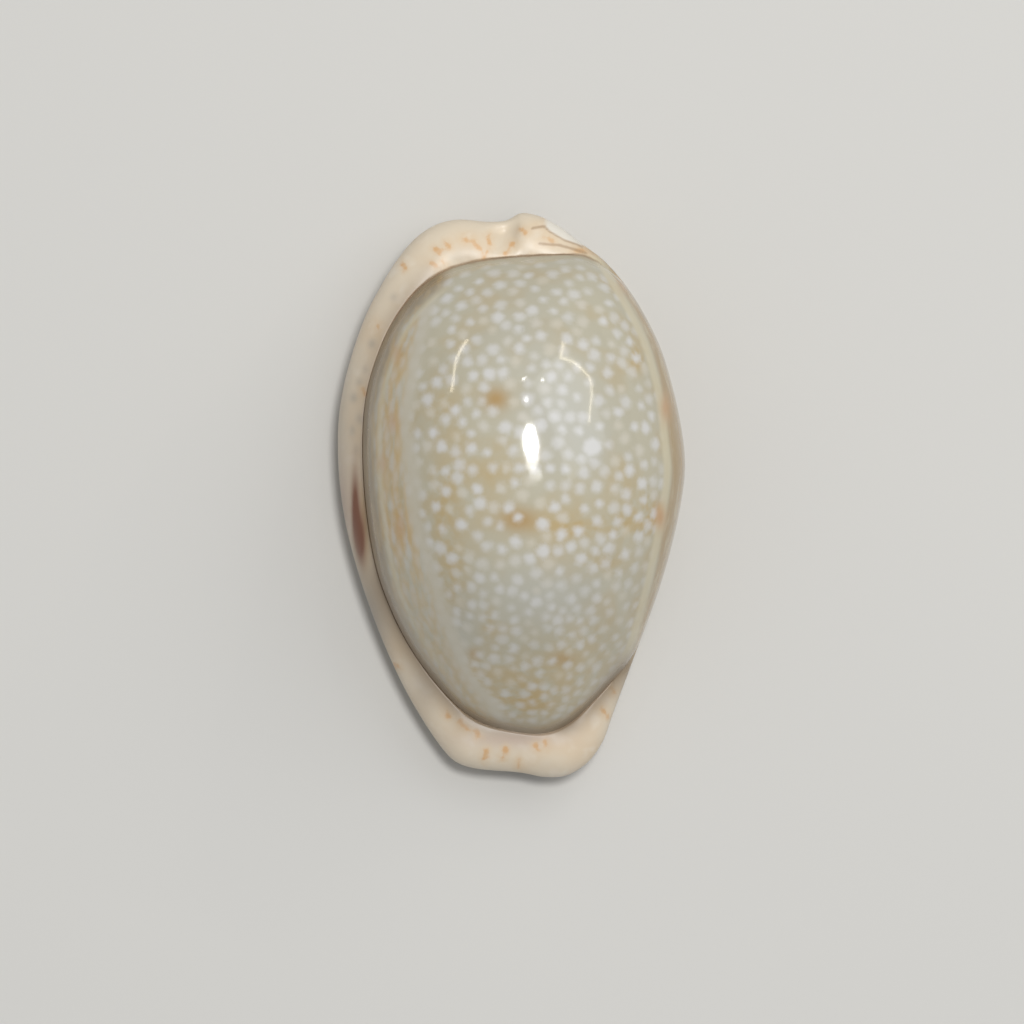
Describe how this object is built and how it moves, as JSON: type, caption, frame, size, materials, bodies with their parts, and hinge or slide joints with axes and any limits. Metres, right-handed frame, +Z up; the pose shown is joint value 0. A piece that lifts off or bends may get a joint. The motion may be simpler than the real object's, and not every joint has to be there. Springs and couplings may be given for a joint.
{
  "type": "cowrie shell",
  "caption": "Glossy adult cowrie shell with a white-spotted olive dorsum, a cream callus rim and a narrow toothed aperture along its flat base.",
  "frame": {"origin": "Centre of the shell's footprint, on the surface that its base rests on.", "axes": "+Y points to the spire end, +X to the inner lip's side and +Z up through the dome."},
  "size_m": [0.0246, 0.04, 0.0188],
  "materials": {
    "shell_porcelain": "natural porcelain-like glaze, very glossy"
  },
  "bodies": {
    "root": {"shell": "shell_porcelain"}
  },
  "joints": []
}
